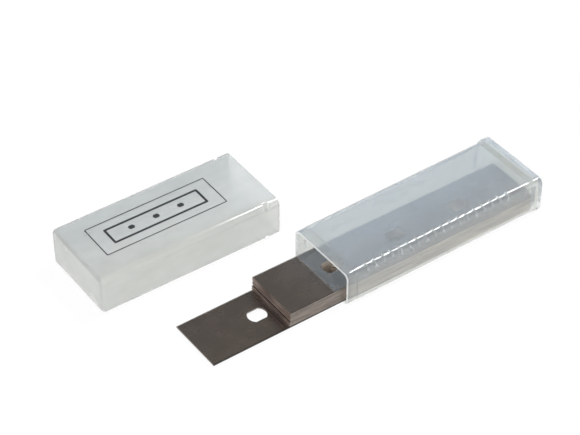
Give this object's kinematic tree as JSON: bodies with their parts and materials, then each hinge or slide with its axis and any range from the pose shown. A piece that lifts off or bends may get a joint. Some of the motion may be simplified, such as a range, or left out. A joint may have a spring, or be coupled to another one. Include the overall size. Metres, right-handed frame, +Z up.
{
  "type": "scraper blade pack",
  "caption": "Spare window-scraper blades in a translucent slide-off case: an open tray with a stack of flat flatted-hole steel blades, one drawn out, and its cap taken off beside it.",
  "frame": {"origin": "on the table, under the middle of the tray's flat underside", "axes": "+X along the tray from its open mouth to its closed end, +Y towards the cap that lies beside it, +Z up"},
  "size_m": [0.1465, 0.0743, 0.0149],
  "materials": {
    "case_plastic": "milky translucent polypropylene, satin with glossy edges",
    "blade_steel": "dark oiled strip steel, satin"
  },
  "bodies": {
    "tray": {"case_tray": "case_plastic"},
    "cap": {"case_cap": "case_plastic"},
    "drawn_blade": {"blade_01": "blade_steel"},
    "stack_blade_1": {"blade_02": "blade_steel"},
    "stack_blade_2": {"blade_03": "blade_steel"},
    "stack_blade_3": {"blade_04": "blade_steel"},
    "stack_blade_4": {"blade_05": "blade_steel"},
    "stack_blade_5": {"blade_06": "blade_steel"},
    "stack_blade_6": {"blade_07": "blade_steel"},
    "stack_blade_7": {"blade_08": "blade_steel"},
    "stack_blade_8": {"blade_09": "blade_steel"},
    "stack_blade_9": {"blade_10": "blade_steel"}
  },
  "joints": [
    {"name": "cap_slide", "type": "slide", "parent": "tray", "child": "cap", "axis": [0.9999, -0.014, 0], "range_m": [-0.0245, 0.0425]},
    {"name": "drawn_blade_slide", "type": "slide", "parent": "tray", "child": "drawn_blade", "axis": [-1, 0, 0], "range_m": [-0.0299, 0.0418]},
    {"name": "stack_blade_1_slide", "type": "slide", "parent": "tray", "child": "stack_blade_1", "axis": [-1, 0, 0], "range_m": [-0.0008, 0.0708]},
    {"name": "stack_blade_2_slide", "type": "slide", "parent": "tray", "child": "stack_blade_2", "axis": [-1, 0, 0], "range_m": [-0.0007, 0.0708]},
    {"name": "stack_blade_3_slide", "type": "slide", "parent": "tray", "child": "stack_blade_3", "axis": [-1, 0, 0], "range_m": [-0.0008, 0.0708]},
    {"name": "stack_blade_4_slide", "type": "slide", "parent": "tray", "child": "stack_blade_4", "axis": [-1, 0, 0], "range_m": [-0.0004, 0.0712]},
    {"name": "stack_blade_5_slide", "type": "slide", "parent": "tray", "child": "stack_blade_5", "axis": [-1, 0, 0], "range_m": [-0.0006, 0.071]},
    {"name": "stack_blade_6_slide", "type": "slide", "parent": "tray", "child": "stack_blade_6", "axis": [-1, 0, 0], "range_m": [-0.0005, 0.0711]},
    {"name": "stack_blade_7_slide", "type": "slide", "parent": "tray", "child": "stack_blade_7", "axis": [-1, 0, 0], "range_m": [-0.0005, 0.0711]},
    {"name": "stack_blade_8_slide", "type": "slide", "parent": "tray", "child": "stack_blade_8", "axis": [-1, 0, 0], "range_m": [-0.0006, 0.071]},
    {"name": "stack_blade_9_slide", "type": "slide", "parent": "tray", "child": "stack_blade_9", "axis": [-1, 0, 0], "range_m": [-0.0005, 0.0711]}
  ]
}
